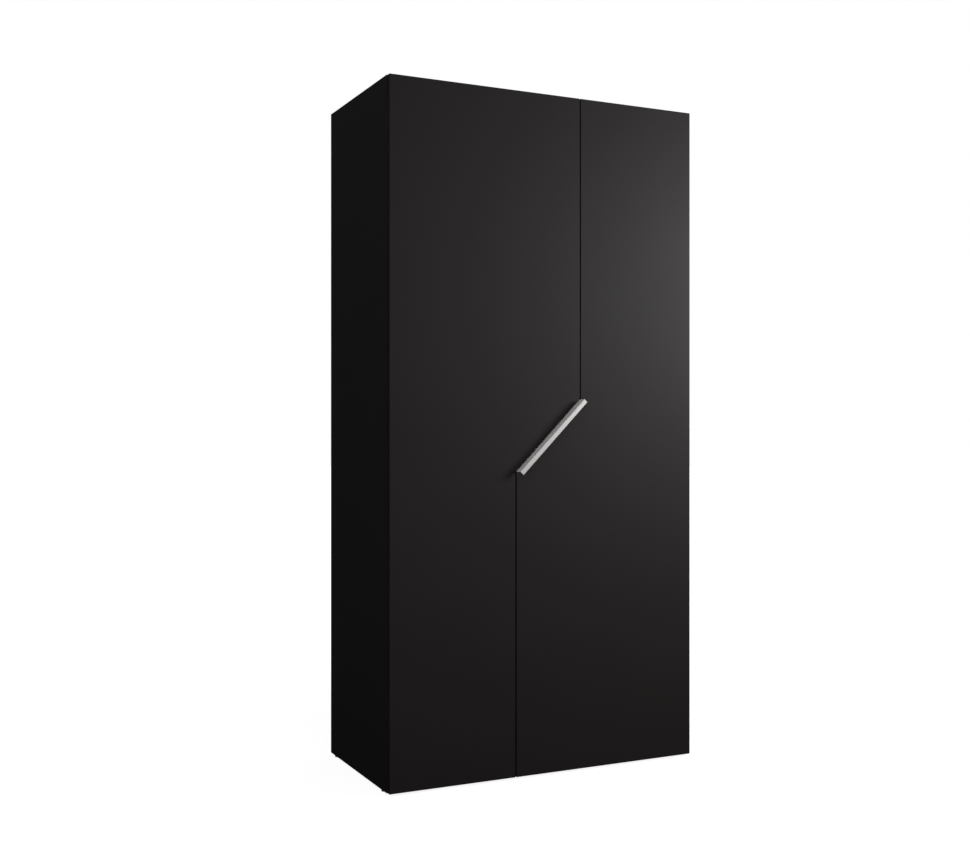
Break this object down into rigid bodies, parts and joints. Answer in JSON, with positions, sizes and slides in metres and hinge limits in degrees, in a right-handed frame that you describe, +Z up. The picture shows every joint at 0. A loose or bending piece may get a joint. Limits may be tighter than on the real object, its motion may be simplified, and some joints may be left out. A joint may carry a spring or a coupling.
{
  "type": "two-door wardrobe",
  "caption": "Tall black wardrobe whose two hinged doors meet on a stepped, diagonal split with one aluminium edge grip.",
  "frame": {"origin": "on the floor, under the middle of the whole object's box", "axes": "+Z up, the doors face -Y, +X to the right of someone facing the doors"},
  "size_m": [1, 0.532, 2],
  "materials": {
    "carcass_board": "matte black laminate on particle board",
    "door_board": "matte black laminate on particle board, fine grained",
    "hardboard": "thin painted hardboard",
    "aluminium": "satin anodised, brushed along its length",
    "zinc_steel": "zinc plated screws",
    "hinge_steel": "nickel plated pressings",
    "rail_chrome": "bright chrome plate",
    "black_plastic": "moulded black plastic"
  },
  "bodies": {
    "carcass": {"left_side_panel": "carcass_board", "right_side_panel": "carcass_board", "top_panel": "carcass_board", "bottom_panel": "carcass_board", "front_plinth": "carcass_board", "rear_plinth": "carcass_board", "hat_shelf": "carcass_board", "centre_divider": "carcass_board", "shelf_1": "carcass_board", "shelf_2": "carcass_board", "shelf_3": "carcass_board", "shelf_4": "carcass_board", "back_panel_left": "hardboard", "back_panel_right": "hardboard", "back_joint_strip": "black_plastic", "glide_front_left": "black_plastic", "glide_front_right": "black_plastic", "glide_rear_left": "black_plastic", "glide_rear_right": "black_plastic", "clothes_rail": "rail_chrome", "rail_socket_left": "rail_chrome", "rail_socket_right": "rail_chrome", "left_hinge_arm_1": "hinge_steel", "left_hinge_arm_2": "hinge_steel", "left_hinge_arm_3": "hinge_steel", "left_hinge_arm_4": "hinge_steel", "left_hinge_plate_1": "hinge_steel", "left_hinge_plate_2": "hinge_steel", "left_hinge_plate_3": "hinge_steel", "left_hinge_plate_4": "hinge_steel", "right_hinge_arm_1": "hinge_steel", "right_hinge_arm_2": "hinge_steel", "right_hinge_arm_3": "hinge_steel", "right_hinge_arm_4": "hinge_steel", "right_hinge_plate_1": "hinge_steel", "right_hinge_plate_2": "hinge_steel", "right_hinge_plate_3": "hinge_steel", "right_hinge_plate_4": "hinge_steel"},
    "left_door": {"left_door": "door_board", "left_hinge_cup_1": "hinge_steel", "left_hinge_cup_2": "hinge_steel", "left_hinge_cup_3": "hinge_steel", "left_hinge_cup_4": "hinge_steel", "left_hinge_pin_1": "hinge_steel", "left_hinge_pin_2": "hinge_steel", "left_hinge_pin_3": "hinge_steel", "left_hinge_pin_4": "hinge_steel"},
    "right_door": {"right_door": "door_board", "grip_profile": "aluminium", "grip_screw_1": "zinc_steel", "grip_screw_2": "zinc_steel", "grip_screw_3": "zinc_steel", "right_hinge_cup_1": "hinge_steel", "right_hinge_cup_2": "hinge_steel", "right_hinge_cup_3": "hinge_steel", "right_hinge_cup_4": "hinge_steel", "right_hinge_pin_1": "hinge_steel", "right_hinge_pin_2": "hinge_steel", "right_hinge_pin_3": "hinge_steel", "right_hinge_pin_4": "hinge_steel"}
  },
  "joints": [
    {"name": "left_door_hinge", "type": "hinge", "parent": "carcass", "child": "left_door", "pos_m": [-0.4915, -0.2325, 1], "axis": [0, 0, -1], "range_deg": [0, 95]},
    {"name": "right_door_hinge", "type": "hinge", "parent": "carcass", "child": "right_door", "pos_m": [0.4915, -0.2325, 1], "axis": [0, 0, 1], "range_deg": [0, 95]}
  ]
}
